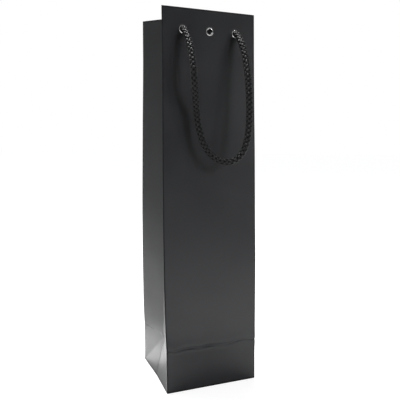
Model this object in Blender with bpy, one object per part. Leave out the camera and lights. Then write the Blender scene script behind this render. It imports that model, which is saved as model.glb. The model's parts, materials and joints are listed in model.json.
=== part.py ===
"""Paper bottle bag with two rope handles, built the way the real one is put together.

One folded paper sheet makes the two faces, the side gussets and the block bottom. Here every
panel between two creases is its own solid. Cards stiffen the mouth, a board stiffens the base,
and each handle cord runs through two metal eyelets and ends in a knot inside the bag.

Frame: metres, +Z up. The origin is the centre of the footprint, on the ground.
The front face looks along -Y and +X is its right-hand side.
"""

import math

import bmesh
import bpy
from mathutils import Matrix, Vector

MM = 0.001

# Driving dimensions of the bag
WIDTH = 100 * MM  # across the front face
DEPTH = 90 * MM  # front to back at the base
HEIGHT = 390 * MM  # length of a face, from the base edge to the mouth
FRONT_MOUTH_Y = -29 * MM  # where the front face ends at the mouth
BACK_MOUTH_Y = 42.5 * MM  # where the back face ends at the mouth
CREASE_RISE = DEPTH / 2  # the cross crease of a block bottom lies half a depth up
STRIP_LEAN = math.radians(1.8)  # the strips below the cross crease lean in
APEX_DROP = 1.4 * MM  # the gusset's low corner sits this far below the cross crease

# Sheet stock
PAPER = 0.4 * MM
CARD = 0.8 * MM
BOARD = 1.0 * MM
GAP = 0.3 * MM  # between neighbouring pieces
FOLD_GAP = 0.35 * MM  # from a crease line to the edge of a gusset panel
GROUND_CLEARANCE = 0.01 * MM  # keeps the foot of a leaning strip off the ground

# Turned-in mouth and its stiffening card
HEM_HEIGHT = 42 * MM
HEM_WIDTH = 93 * MM
CARD_HEIGHT = 40 * MM
CARD_WIDTH = 94.5 * MM
MOUTH_INSET = 0.8 * MM  # the card and the hem stop this far below the mouth edge

# Side seam glue flap, inside the back face
SEAM_WIDTH = 17 * MM
SEAM_OFFSET = 2 * MM  # from the back face's side edge
SEAM_RISE = 2 * MM  # from the cross crease to the flap's foot

# Block bottom
FLAP_OVERLAP = 15 * MM  # how far the front and back flaps pass the middle
SIDE_FLAP_REACH = 38 * MM
FLAP_TAPER = 1 / 3  # how much a flap narrows on each side, per length
FLAP_STEP = 0.1 * MM  # each higher layer is this much shorter, front and back
GUSSET_LEAN = math.radians(16)  # a little more than the bottom gussets lean in
BOARD_SIDE_MARGIN = 1.5 * MM
BOARD_END_MARGIN = 0.3 * MM

# Eyelets
EYELET_SPACING = 28.5 * MM
EYELET_DROP = 21.5 * MM  # from the mouth edge to an eyelet's centre
EYELET_RADIUS = 4.5 * MM
BARREL_RADIUS = 2.8 * MM
BORE_RADIUS = 2.45 * MM
CURL_RADIUS = 3.9 * MM
FLANGE_RISE = 0.9 * MM
FLANGE_ROUND = 0.3 * MM  # softens the flange's rims
CURL_THICKNESS = 0.5 * MM
CURL_ROUND = 0.2 * MM  # softens the curl's rims
WASHER_RADIUS = 5.2 * MM
WASHER_THICKNESS = 0.5 * MM

# Handle cord
CORD_RADIUS = 3.1 * MM
NECK_RADIUS = 2.15 * MM  # the cord is squeezed where it passes an eyelet
TIP_RADIUS = 2.6 * MM  # round end of the cord neck, centred on the handle's turning axis
TIP_ANGLES = (35, 65, 90, 120)  # degrees round the tip at which its outline is set
TURN_OFFSET = 6.5 * MM  # handle's turning axis, in front of the face
KNOT_RADIUS = 6.5 * MM
KNOT_LENGTH = 11.3 * MM
KNOT_ANGLES = (60, 90, 120, 150)
KNOT_FOOT = 3.7 * MM  # radius of the flat that bears on the eyelet's curl
HANDLE_DROP = 129.5 * MM
HANDLE_BULGE = 34 * MM  # how far the hanging cord ends up in front of the face
BULGE_FADE = 36 * MM  # drop over which the cord swings out
HANDLE_SQUARENESS = 6.67  # exponent of the U: higher is squarer
LOOP_TWIST = 17 * MM  # how much nearer to the face the left leg hangs, low down
TWIST_TOP = 45 * MM  # drop at which the twist begins
TWIST_SPAN = 40 * MM
TWIST_SHIFT = 0.38  # sideways shift for each unit of twist
LOOP_START = 3.4 * MM  # cord length left out at the turning axis

# Fineness of round shapes
SMOOTH_ANGLE = math.radians(50)
WELD_DISTANCE = 0.001 * MM
EYELET_STEPS = 20
CORD_STEPS = 16
HOLE_STEPS = 24
LOOP_POINTS = 42
PATH_SAMPLES = 40000  # the U drops almost straight down at its ends
GUIDE_LENGTH = 10 * MM
GUSSET_ROWS = 6

# Layers of the mouth, counted inwards from the outer face
CARD_START = PAPER + GAP
HEM_START = CARD_START + CARD + GAP
WASHER_START = HEM_START + PAPER + GAP
CURL_START = WASHER_START + WASHER_THICKNESS + GAP
CURL_END = CURL_START + CURL_THICKNESS
KNOT_START = CURL_END + GAP

# Derived places
PANEL_LENGTH = HEIGHT - CREASE_RISE
CREASE_Z = CREASE_RISE * math.cos(STRIP_LEAN)
CREASE_SETBACK = CREASE_RISE * math.sin(STRIP_LEAN)
CREASE_Y = DEPTH / 2 - CREASE_SETBACK
EYELET_HEIGHT = PANEL_LENGTH - EYELET_DROP
HOLE_RADIUS = BARREL_RADIUS + GAP
FRONT_LEAN = math.asin((CREASE_Y + FRONT_MOUTH_Y) / PANEL_LENGTH)
BACK_LEAN = math.asin((CREASE_Y - BACK_MOUTH_Y) / PANEL_LENGTH)


def clear_scene():
    """Empties the scene, so that the script gives the same result wherever it is run."""
    for item in list(bpy.data.objects):
        bpy.data.objects.remove(item, do_unlink=True)


def make_material(name, colour, roughness, metallic=0.0):
    material = bpy.data.materials.new(name)
    material.use_nodes = True
    shader = material.node_tree.nodes["Principled BSDF"]
    shader.inputs["Base Color"].default_value = (*colour, 1.0)
    shader.inputs["Roughness"].default_value = roughness
    shader.inputs["Metallic"].default_value = metallic
    return material


def make_empty(name, location, rotation=(0, 0, 0), parent=None):
    empty = bpy.data.objects.new(name, None)
    bpy.context.scene.collection.objects.link(empty)
    empty.location = location
    empty.rotation_euler = rotation
    empty.parent = parent
    return empty


def add_object(name, bm, material, parent=None, smooth=False):
    """Turns a bmesh into a named object."""
    bmesh.ops.recalc_face_normals(bm, faces=bm.faces[:])
    mesh = bpy.data.meshes.new(name)
    bm.to_mesh(mesh)
    bm.free()
    mesh.materials.append(material)
    if smooth:
        mesh.shade_smooth()
        mesh.set_sharp_from_angle(angle=SMOOTH_ANGLE)
    item = bpy.data.objects.new(name, mesh)
    bpy.context.scene.collection.objects.link(item)
    item.parent = parent
    return item


def extruded_outline(outline, offset):
    """A closed prism: the flat outline and its copy moved by the offset."""
    bm = bmesh.new()
    face = bm.faces.new([bm.verts.new(point) for point in outline])
    raised = bmesh.ops.extrude_face_region(bm, geom=[face])
    moved = [part for part in raised["geom"] if isinstance(part, bmesh.types.BMVert)]
    bmesh.ops.translate(bm, verts=moved, vec=Vector(offset))
    return bm


def upright_plate(name, left, right, bottom, top, start, thickness, material, parent):
    """A rectangle standing in the local XZ plane, thick along local +Y, which points inwards."""
    outline = [
        (left, start, bottom),
        (right, start, bottom),
        (right, start, top),
        (left, start, top),
    ]
    return add_object(name, extruded_outline(outline, (0, thickness, 0)), material, parent)


def lying_plate(name, outline, level, thickness, material):
    """A flat plate over an XY outline, lying at the given level."""
    points = [(x, y, level) for x, y in outline]
    return add_object(name, extruded_outline(points, (0, 0, thickness)), material)


def inset_sheet(name, points, faces, material):
    """A paper sheet through the points, pulled back from its crease lines and given thickness."""
    bm = bmesh.new()
    verts = [bm.verts.new(point) for point in points]
    for face in faces:
        bm.faces.new([verts[index] for index in face])
    bmesh.ops.recalc_face_normals(bm, faces=bm.faces[:])
    rim = bmesh.ops.inset_region(
        bm, faces=bm.faces[:], thickness=FOLD_GAP, use_boundary=True, use_even_offset=True
    )
    bmesh.ops.delete(bm, geom=rim["faces"], context="FACES")
    item = add_object(name, bm, material)
    thicken = item.modifiers.new("paper thickness", "SOLIDIFY")
    thicken.thickness = PAPER
    thicken.offset = 0.0
    thicken.use_even_offset = True
    return item


def turned(name, profile, closed, steps, material, parent, location):
    """A body turned about local Y: the profile lists (radius, distance inwards)."""
    bm = bmesh.new()
    verts = [bm.verts.new((radius, depth, 0)) for radius, depth in profile]
    edges = [bm.edges.new(pair) for pair in zip(verts, verts[1:])]
    if closed:
        edges.append(bm.edges.new((verts[-1], verts[0])))
    bmesh.ops.spin(
        bm, geom=verts + edges, axis=(0, 1, 0), cent=(0, 0, 0), angle=math.tau, steps=steps
    )
    bmesh.ops.remove_doubles(bm, verts=bm.verts[:], dist=WELD_DISTANCE)
    item = add_object(name, bm, material, parent, smooth=True)
    item.location = location
    return item


def eyelet_places(names):
    """World side name and local X of each eyelet, the outer two first."""
    return {names[0]: -EYELET_SPACING, names[1]: EYELET_SPACING, "centre": 0.0}


def eyelet_cutter(side, parent):
    """Guide cylinders that punch the three eyelet holes through the mouth's layers."""
    bm = bmesh.new()
    for x in (-EYELET_SPACING, 0.0, EYELET_SPACING):
        place = Matrix.Translation((x, HEM_START / 2, EYELET_HEIGHT))
        turn = Matrix.Rotation(math.radians(90), 4, "X")
        bmesh.ops.create_cone(
            bm,
            cap_ends=True,
            segments=HOLE_STEPS,
            radius1=HOLE_RADIUS,
            radius2=HOLE_RADIUS,
            depth=GUIDE_LENGTH,
            matrix=place @ turn,
        )
    cutter = add_object(side + "_hole_guide", bm, MATERIALS["cord"], parent)
    cutter.hide_render = True
    cutter.display_type = "WIRE"
    return cutter


def punch(item, cutter):
    cut = item.modifiers.new("eyelet holes", "BOOLEAN")
    cut.operation = "DIFFERENCE"
    cut.solver = "EXACT"
    cut.object = cutter


def make_eyelet(name, parent, location):
    """Rolled flange outside, barrel through the layers, small curl over the washer inside."""
    crown = -(GAP + FLANGE_RISE)
    rim = -(GAP + FLANGE_RISE / 3)
    profile = [
        (BORE_RADIUS, rim),
        (BORE_RADIUS + FLANGE_ROUND, crown + FLANGE_ROUND / 2),
        ((BORE_RADIUS + EYELET_RADIUS) / 2, crown),
        (EYELET_RADIUS - FLANGE_ROUND, crown + FLANGE_ROUND / 2),
        (EYELET_RADIUS, rim),
        (EYELET_RADIUS, -GAP),
        (BARREL_RADIUS, -GAP),
        (BARREL_RADIUS, CURL_START),
        (CURL_RADIUS, CURL_START),
        (CURL_RADIUS - CURL_ROUND, CURL_END),
        (BORE_RADIUS + CURL_ROUND, CURL_END),
        (BORE_RADIUS, CURL_START + CURL_ROUND),
    ]
    return turned(name, profile, True, EYELET_STEPS, MATERIALS["eyelet"], parent, location)


def make_washer(name, parent, location):
    """Backing ring between the hem and the eyelet's curl."""
    end = WASHER_START + WASHER_THICKNESS
    profile = [
        (HOLE_RADIUS, WASHER_START),
        (WASHER_RADIUS, WASHER_START),
        (WASHER_RADIUS, end),
        (HOLE_RADIUS, end),
    ]
    return turned(name, profile, True, EYELET_STEPS, MATERIALS["eyelet"], parent, location)


def make_cord_end(name, parent, location):
    """Knot inside the bag, neck through the eyelet, and a round tip on the turning axis."""
    profile = [(0.0, -TURN_OFFSET - TIP_RADIUS)]
    for angle in TIP_ANGLES:
        radius = TIP_RADIUS * math.sin(math.radians(angle))
        depth = -TURN_OFFSET - TIP_RADIUS * math.cos(math.radians(angle))
        profile.append((radius, depth))
    neck_start = -TURN_OFFSET + math.sqrt(TIP_RADIUS**2 - NECK_RADIUS**2)
    profile.append((NECK_RADIUS, neck_start))
    profile.append((NECK_RADIUS, KNOT_START - GAP / 2))
    profile.append((KNOT_FOOT, KNOT_START))
    for angle in KNOT_ANGLES:
        radius = KNOT_RADIUS * math.sin(math.radians(angle))
        depth = KNOT_START + KNOT_LENGTH * (1 - math.cos(math.radians(angle))) / 2
        profile.append((radius, depth))
    profile.append((0.0, KNOT_START + KNOT_LENGTH))
    return turned(name, profile, False, CORD_STEPS, MATERIALS["cord"], parent, location)


def smooth_step(share):
    """Eases from 0 to 1 as share goes from 0 to 1."""
    share = min(max(share, 0.0), 1.0)
    return share * share * (3 - 2 * share)


def handle_path():
    """Dense centre line of the hanging loop, from one turning point to the other.

    Points are local to the turning axis: X along it, -Y away from the face, -Z down.
    The U is a superellipse, and the cord swings away from the face as it drops. The loop is
    also twisted a little: its left leg hangs nearer to the face than its right one.
    """
    points = []
    for index in range(PATH_SAMPLES + 1):
        angle = math.pi * index / PATH_SAMPLES
        x = -EYELET_SPACING * math.cos(angle)
        drop = HANDLE_DROP * math.sin(angle) ** (2 / HANDLE_SQUARENESS)
        swing = (HANDLE_BULGE - TURN_OFFSET) * (1 - math.exp(-drop / BULGE_FADE))
        lowness = smooth_step((drop - TWIST_TOP) / TWIST_SPAN)
        nearer = LOOP_TWIST * lowness * smooth_step((1 - x / EYELET_SPACING) / 2)
        points.append(Vector((x + TWIST_SHIFT * nearer, nearer - swing, -drop)))
    return points


def evenly_spaced(points, count, trim):
    """Points at equal steps along a dense line, leaving out the trim length at both ends."""
    lengths = [0.0]
    for first, second in zip(points, points[1:]):
        lengths.append(lengths[-1] + (second - first).length)
    span = lengths[-1] - 2 * trim
    result = []
    segment = 0
    for index in range(count):
        wanted = trim + span * index / (count - 1)
        while lengths[segment + 1] < wanted:
            segment += 1
        share = (wanted - lengths[segment]) / (lengths[segment + 1] - lengths[segment])
        result.append(points[segment].lerp(points[segment + 1], share))
    return result


def make_handle(name, parent):
    """The cord loop that swings about the two eyelets."""
    curve = bpy.data.curves.new(name, "CURVE")
    curve.dimensions = "3D"
    curve.bevel_depth = CORD_RADIUS
    curve.bevel_resolution = 2
    curve.use_fill_caps = True
    spline = curve.splines.new("POLY")
    places = evenly_spaced(handle_path(), LOOP_POINTS, LOOP_START)
    spline.points.add(len(places) - 1)
    for point, place in zip(spline.points, places):
        point.co = (*place, 1.0)
    spline.use_smooth = True
    curve.materials.append(MATERIALS["cord"])
    loop = bpy.data.objects.new(name, curve)
    bpy.context.scene.collection.objects.link(loop)
    loop.parent = parent
    return loop


def make_face(side, facing, lean, eyelet_names):
    """One big face of the bag with everything fixed to it, built upright and then leaned in.

    facing is 0 for the front and 180 degrees for the back. The face's own frame has its origin
    on the cross crease, local +Y points into the bag and the outer skin is at local Y 0.
    """
    turn = math.radians(facing)
    crease = Matrix.Rotation(turn, 4, "Z") @ Vector((0, -CREASE_Y, CREASE_Z))
    pivot = make_empty(side + "_face_pivot", crease, (-lean, 0, turn))
    cutter = eyelet_cutter(side, pivot)

    half = WIDTH / 2
    paper, card = MATERIALS["paper"], MATERIALS["card"]
    panel = upright_plate(
        side + "_panel", -half, half, GAP / 2, PANEL_LENGTH, 0, PAPER, paper, pivot
    )
    top = PANEL_LENGTH - MOUTH_INSET
    stiffener = upright_plate(
        side + "_top_card",
        -CARD_WIDTH / 2,
        CARD_WIDTH / 2,
        top - CARD_HEIGHT,
        top,
        CARD_START,
        CARD,
        card,
        pivot,
    )
    hem = upright_plate(
        side + "_top_hem",
        -HEM_WIDTH / 2,
        HEM_WIDTH / 2,
        top - HEM_HEIGHT,
        top,
        HEM_START,
        PAPER,
        MATERIALS["hem"],
        pivot,
    )
    for layer in (panel, stiffener, hem):
        punch(layer, cutter)

    for place_name, x in eyelet_places(eyelet_names).items():
        base = f"{side}_{place_name}"
        location = (x, 0, EYELET_HEIGHT)
        make_eyelet(base + "_eyelet", pivot, location)
        make_washer(base + "_eyelet_washer", pivot, location)
        if place_name != "centre":
            make_cord_end(base + "_cord_knot", pivot, location)

    axis = make_empty(
        side + "_handle_pivot", (0, -TURN_OFFSET, EYELET_HEIGHT), parent=pivot
    )
    make_handle(side + "_handle_cord", axis)
    return pivot


def make_seam_flap(pivot):
    """Glue flap that closes the sheet into a tube, stuck to the inside of the back face."""
    outer = WIDTH / 2 - SEAM_OFFSET
    top = PANEL_LENGTH - MOUTH_INSET - HEM_HEIGHT - GAP
    upright_plate(
        "side_seam_flap",
        outer - SEAM_WIDTH,
        outer,
        SEAM_RISE,
        top,
        PAPER + GAP,
        PAPER,
        MATERIALS["paper"],
        pivot,
    )


def make_bottom_strip(side, facing):
    """The low part of a face, between the base edge and the cross crease."""
    turn = math.radians(facing)
    edge = Matrix.Rotation(turn, 4, "Z") @ Vector((0, -DEPTH / 2, 0))
    pivot = make_empty(side + "_base_edge", edge, (-STRIP_LEAN, 0, turn))
    half = WIDTH / 2
    upright_plate(
        side + "_bottom_strip",
        -half,
        half,
        PAPER * math.tan(STRIP_LEAN) + GROUND_CLEARANCE,
        CREASE_RISE - GAP / 2,
        0,
        PAPER,
        MATERIALS["paper"],
        pivot,
    )


def gusset_points():
    """Crease points of the left gusset, on the middle of the paper.

    The half gussets are half a depth wide, so the mouth's opening sets how far the centre fold
    lies inside the bag, and the block bottom sets where the fold starts.
    """
    side = -(WIDTH - PAPER) / 2
    inner = PAPER + GAP / 2
    apex_z = CREASE_Z - APEX_DROP
    apex_inset = math.sqrt(CREASE_RISE**2 - apex_z**2)
    apex = Vector((side + apex_inset, 0, apex_z))
    half_mouth = (BACK_MOUTH_Y - FRONT_MOUTH_Y) / 2
    mouth_inset = math.sqrt((DEPTH / 2) ** 2 - half_mouth**2)
    middle = (BACK_MOUTH_Y + FRONT_MOUTH_Y) / 2
    shift = Vector((side + mouth_inset - apex.x, middle, 0))
    fold_top = Vector((side + mouth_inset, middle, 0))
    fold_top.z = apex.z + math.sqrt(PANEL_LENGTH**2 - shift.length**2)
    front_z = CREASE_Z + PANEL_LENGTH * math.cos(FRONT_LEAN)
    back_z = CREASE_Z + PANEL_LENGTH * math.cos(BACK_LEAN)
    return {
        "apex": apex,
        "fold_top": fold_top,
        "front_base": Vector((side, -DEPTH / 2 + inner, 0)),
        "front_crease": Vector((side, -CREASE_Y + inner, CREASE_Z)),
        "front_top": Vector((side, FRONT_MOUTH_Y + inner, front_z)),
        "back_base": Vector((side, DEPTH / 2 - inner, 0)),
        "back_crease": Vector((side, CREASE_Y - inner, CREASE_Z)),
        "back_top": Vector((side, BACK_MOUTH_Y - inner, back_z)),
    }


def mirrored(point, side):
    """The left gusset's point, or its mirror image for the right gusset."""
    return point if side == "left" else Vector((-point.x, point.y, point.z))


def make_gusset_half(side, half, points):
    """Upper gusset panel between a face's edge, the centre fold and the bottom's diagonal."""
    corner = points[half + "_base"]
    low_edge, top_edge = points[half + "_crease"], points[half + "_top"]
    low_fold, top_fold = points["apex"], points["fold_top"]
    places = [corner]
    for row in range(GUSSET_ROWS + 1):
        share = row / GUSSET_ROWS
        places.append(low_edge.lerp(top_edge, share))
        places.append(low_fold.lerp(top_fold, share))
    faces = [(0, 1, 2)]
    for row in range(GUSSET_ROWS):
        first = 1 + 2 * row
        faces.append((first, first + 2, first + 3, first + 1))
    places = [mirrored(place, side) for place in places]
    inset_sheet(f"{side}_gusset_{half}", places, faces, MATERIALS["paper"])


def make_bottom_gusset(side, points):
    """The triangle that the block bottom folds out of the foot of a gusset."""
    corners = (points["front_base"], points["apex"], points["back_base"])
    places = [mirrored(corner, side) for corner in corners]
    inset_sheet(f"{side}_bottom_gusset", places, [(0, 1, 2)], MATERIALS["paper"])


def make_gussets():
    points = gusset_points()
    for side in ("left", "right"):
        make_bottom_gusset(side, points)
        for half in ("front", "back"):
            make_gusset_half(side, half, points)


def make_base():
    """Glued block bottom: front flap outermost, then back flap, side flaps and loose board."""
    half_x = WIDTH / 2 - PAPER - GAP
    half_y = DEPTH / 2 - PAPER - GAP
    level = 0.0
    taper = FLAP_TAPER * (half_y - FLAP_OVERLAP)
    for side, sign in (("front", -1), ("back", 1)):
        outline = [
            (-half_x, sign * half_y),
            (half_x, sign * half_y),
            (half_x - taper, -sign * FLAP_OVERLAP),
            (-half_x + taper, -sign * FLAP_OVERLAP),
        ]
        lying_plate(f"base_{side}_flap", outline, level, PAPER, MATERIALS["paper"])
        level += PAPER + GAP
        half_y -= FLAP_STEP

    for side, sign in (("left", -1), ("right", 1)):
        edge = half_x - level * math.tan(GUSSET_LEAN)
        inner = edge - SIDE_FLAP_REACH
        outline = [
            (sign * edge, -half_y),
            (sign * edge, half_y),
            (sign * inner, half_y - SIDE_FLAP_REACH),
            (sign * inner, -half_y + SIDE_FLAP_REACH),
        ]
        lying_plate(f"base_{side}_flap", outline, level, PAPER, MATERIALS["paper"])
    level += PAPER + GAP

    board_x = half_x - BOARD_SIDE_MARGIN
    board_y = half_y - BOARD_END_MARGIN
    outline = [
        (-board_x, -board_y),
        (board_x, -board_y),
        (board_x, board_y),
        (-board_x, board_y),
    ]
    lying_plate("base_board", outline, level, BOARD, MATERIALS["board"])


def make_bag():
    make_base()
    make_bottom_strip("front", 0)
    make_bottom_strip("back", 180)
    make_gussets()
    make_face("front", 0, FRONT_LEAN, ("left", "right"))
    back = make_face("back", 180, BACK_LEAN, ("right", "left"))
    make_seam_flap(back)


clear_scene()
MATERIALS = {
    "paper": make_material("black_laminated_paper", (0.03, 0.03, 0.033), 0.45),
    "hem": make_material("black_hem_paper", (0.035, 0.035, 0.037), 0.5),
    "card": make_material("grey_card", (0.30, 0.29, 0.27), 0.9),
    "board": make_material("black_base_board", (0.04, 0.04, 0.04), 0.8),
    "eyelet": make_material("nickel_eyelet", (0.75, 0.75, 0.77), 0.2, 1.0),
    "cord": make_material("black_braided_cord", (0.02, 0.02, 0.022), 0.8),
}
make_bag()
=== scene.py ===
"""Looks of the paper bottle bag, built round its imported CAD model.

The paper is one folded sheet. A point of the flat sheet has two coordinates: u runs round the
tube, from the middle of the front face, and h runs up from the base edge. fold_sheet() turns
them into a place on the bag, so the two skins, the turned-in mouth, the bottom flaps and the
glue flap are all cut from the same sheet and meet at their creases.

The handle cords are real braids of eight strands, from the knot through the eyelet to the loop.
"""

import json
import math

import bmesh
import bpy
import numpy as np
from mathutils import Matrix, Vector, noise


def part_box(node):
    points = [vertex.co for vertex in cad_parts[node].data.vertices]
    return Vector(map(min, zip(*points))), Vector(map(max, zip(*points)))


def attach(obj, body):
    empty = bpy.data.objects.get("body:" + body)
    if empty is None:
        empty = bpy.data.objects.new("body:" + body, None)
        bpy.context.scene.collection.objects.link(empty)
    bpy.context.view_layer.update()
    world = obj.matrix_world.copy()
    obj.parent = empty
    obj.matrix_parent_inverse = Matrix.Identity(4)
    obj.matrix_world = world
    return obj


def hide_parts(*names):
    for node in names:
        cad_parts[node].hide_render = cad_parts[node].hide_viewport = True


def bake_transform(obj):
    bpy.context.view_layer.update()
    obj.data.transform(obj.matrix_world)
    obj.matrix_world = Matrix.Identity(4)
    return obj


MM = 0.001

# Paper
FOLD_REACH = 0.8 * MM  # how far a fold's rounding reaches on either side of its crease
BASE_REACH = 1.0 * MM  # the same at the base edge
FOLD_GAIN = 0.5 * MM  # makes up for the width lost by rounding
MOUTH_FOLD = 2.2 * MM  # depth of the turned-in mouth over the card
GUSSET_HEM_DEPTH = 1.1 * MM
HEM_LENGTH = 42 * MM
HEM_EDGE = 3.5 * MM  # the hem stops this far from the side folds
GUSSET_HEM_END = 43 * MM  # and in a gusset this far from them, short of the centre fold
FLAP_LENGTH = 60 * MM
FLAP_TAPER = 1 / 6
FLAP_SIDE_GAP = 0.7 * MM
BACK_FLAP_RISE = 0.7 * MM  # the back flap lies on the front one
APEX_DROP = 1.4 * MM  # the gussets' centre folds end a little lower than the faces
BASE_PINCH = 1.5 * MM  # and pull the base's side edges in by this much
FOLLOW_RAMP = 20 * MM  # the paper starts to turn with a face over this height above the crease
SEAM_SPAN = (31 * MM, 48 * MM)  # glue flap, from the middle of the back face
SEAM_DEPTH = 0.75 * MM
SEAM_GAPS = (2 * MM, 3 * MM)  # from the cross crease and from the card

# Outward bow of the four side folds half-way up (across, front to back)
FOLD_BOWS = {
    ("front", -1): (1.0 * MM, -2.5 * MM),
    ("front", 1): (0.4 * MM, 1.2 * MM),
    ("back", -1): (1.0 * MM, 4.0 * MM),
    ("back", 1): (0.8 * MM, 3.0 * MM),
}
FACE_CROWN = 1.2 * MM
BOW_POWERS = (0.7, 1.3)  # how a bow rises from the cross crease and falls towards the card

# Unevenness of the sheet: heights, and sizes over the sheet
SWELL = (0.35 * MM, 55 * MM)
RIPPLE = (0.06 * MM, 14 * MM)
CREASE_RIDGE = (0.85 * MM, 9 * MM)
CREASE_DENT = (0.55 * MM, 1.5 * MM)
CREASE_WANDER = ((2.6 * MM, 24 * MM), (1.4 * MM, 9 * MM))
DENT_CHANGE = (0.9, 15 * MM)  # share by which the dent's depth changes along the crease
APEX_CRUMPLE = (0.35 * MM, 3.5 * MM)
APEX_REACH = 9 * MM
WEAR_WIDTHS = (0.8 * MM, 1.6 * MM, 1.3 * MM)  # side folds, base edge, mouth

# Grid of the sheet
FINE_STEPS = (0.0, 0.3 * MM, 0.6 * MM, 1.0 * MM, 1.6 * MM)  # next to a fold
GUSSET_STEP = 1.5 * MM
FACE_STEP = 2.2 * MM
ROW_STEP = 2.6 * MM
FLAP_STEP = 2.5 * MM
TURN_STEP = 0.37 * MM

# Eyelets, in the face's own frame: depth counts inwards from the outer skin
EYELET_RADIUS = 4.2 * MM
BORE_RADIUS = 2.85 * MM
FLANGE_RISE = 1.2 * MM
BARREL_END = 3.8 * MM
CURL_RADIUS = 3.9 * MM
WASHER_RADIUS = 5.2 * MM
WASHER_SPAN = (2.5 * MM, 3.0 * MM)
PAPER_HOLE = 3.3 * MM

# Handle cord, in the frame of the handle's joint
CORD_RADIUS = 3.5 * MM
STRAND_HALF_WIDTH = 1.18 * MM
STRAND_HALF_HEIGHT = 0.90 * MM
BRAID_WAVE = 0.55 * MM
BRAID_PITCH = 18.4 * MM
CORD_STEP = 0.45 * MM
STRANDS_EACH_WAY = 4
TURN_OFFSET = 6.5 * MM  # from the joint's axis to the outer skin
TIGHT_BEND = 3.2 * MM  # rounding of the line's corners, in and behind the eyelet
LOOSE_BEND = 8 * MM  # and outside
HANDLE_DROP = 129.5 * MM
HANDLE_BULGE = 34 * MM  # from the outer skin to the lowest part of the loop
BULGE_FADE = 36 * MM
MOUTH_TUCK = 2.5 * MM  # the cord turns down close to its eyelet
TUCK_FADE = 7 * MM
HANDLE_SQUARENESS = 6.67  # 2 would be an ellipse
LOOP_TWIST = 17 * MM  # how much nearer to the face the left leg hangs, low down
TWIST_TOP = 45 * MM
TWIST_SPAN = 40 * MM
TWIST_SHIFT = 0.38  # the twisted leg also moves to the right, by this share
LOOP_SHIFT = 1.0 * MM  # the loop hangs a little to the right
LOOP_SAG = (1.5 * MM, 4.0 * MM)  # and sags: in the middle, and more towards the right
SHIFT_FADE = 25 * MM
SAG_TOP = 60 * MM
SAG_SPAN = 70 * MM
KNOT_DEPTH = 10.2 * MM  # middle of the knot behind the outer skin
KNOT_SCALES = (1.75 * MM, 0.42 * MM, 1.35 * MM)  # across, inwards, up
NECK_STOPS = (9.5 * MM, 8.0 * MM, 6.0 * MM, 3.0 * MM)  # depths on the eyelet's axis
TURN_START = 3.5 * MM  # the cord starts to turn with its loop at this depth
TURN_SPAN = 6.5 * MM
BORE_SQUEEZE = 0.15  # how much thinner the cord is in its eyelet
KNOT_SQUEEZE = 0.16  # and in its knot, further

# Camera
CAMERA_PLACE = (-0.19184, -0.50023, 0.25685)
CAMERA_YAW = math.radians(21.20)
CAMERA_PITCH = math.radians(-6.64)
CAMERA_ROLL = math.radians(0.304)
CAMERA_LENS = 43.95  # millimetres, on a sensor 36 millimetres wide

# Studio
FLOOR_RADIUS = 12.0
FLOOR_GLOW = 0.62  # share of the floor's look that is plain white to the camera
WORLD_FILL = 0.01
WORLD_GLOWS = (  # direction, range of the cosine over which the glow rises, strength
    ((0, 0, 1), (0.35, 0.95), 0.34),
    ((-1, 0, 0.1), (0.35, 0.9), 0.34),
    ((-0.5, 0.86, 0.1), (0.5, 0.97), 0.50),
)
# Lamps: azimuth and elevation in degrees, distance, size (degrees for sun and spot), power
KEY = ("SUN", 19, 16, 2.0, 13, 1.6)
NEAR_BOX = ("AREA", 24, 22, 0.62, 0.22, 1.7)
SIDE_BOX = ("AREA", 40, 12, 1.3, 0.45, 0.8)
TOP_BOX = ("AREA", 190, 76, 1.3, 0.6, 31)
BACKGROUND = ("SPOT", 222, 42, 1.2, 4.2, 230)
BACKGROUND_SHIFT = (-0.078, 0.088, -0.2)  # to light the floor behind the bag's left side


# ---------------------------------------------------------------- the frame


class Face:
    """Where one big face of the CAD model lies, measured from the frame."""

    def __init__(self, name, sign):
        self.name = name
        self.sign = sign  # -1 for the front, +1 for the back, along Y
        joint = JOINTS[name + "_face_fold"]
        self.crease = np.array(joint["pos_m"])
        low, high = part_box(name + "_panel")
        inner_top = high.y if sign < 0 else low.y
        run = (inner_top + sign * PAPER - self.crease[1]) * -sign
        rise = high.z - self.crease[2]
        self.length = math.hypot(run, rise)
        lean = math.atan2(run, rise)
        self.up = np.array((0, -sign * math.sin(lean), math.cos(lean)))
        self.inward = np.array((0, -sign * math.cos(lean), -math.sin(lean)))
        strip_low, strip_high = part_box(name + "_bottom_strip")
        self.base_y = strip_low.y if sign < 0 else strip_high.y
        self.axis = np.array(JOINTS[name + "_handle_swing"]["pos_m"])
        self.eyelet_x = {}
        for place in ("left", "centre", "right"):
            eyelet_low, eyelet_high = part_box(f"{name}_{place}_eyelet")
            self.eyelet_x[place] = (eyelet_low.x + eyelet_high.x) / 2
        centre = self.axis + self.inward * TURN_OFFSET
        self.eyelet_h = float(np.dot(centre - self.crease, self.up))

    def place(self, x, depth, up):
        """World place from the face's own frame, whose origin is on the handle's axis."""
        x, depth, up = np.broadcast_arrays(x, depth, up)
        across = np.array((1.0, 0.0, 0.0))
        return self.axis + np.multiply.outer(x, across) + np.multiply.outer(
            depth, self.inward
        ) + np.multiply.outer(up, self.up)


# ---------------------------------------------------------------- the folded sheet


def bow_shape(h):
    """0 at the cross crease and at the card, 1 about a third of the way up."""
    share = np.clip((h - RISE) / (CARD_H - RISE), 0, 1)
    rising, falling = BOW_POWERS
    top = rising / (rising + falling)
    peak = top**rising * (1 - top) ** falling
    return share**rising * (1 - share) ** falling / peak


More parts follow.
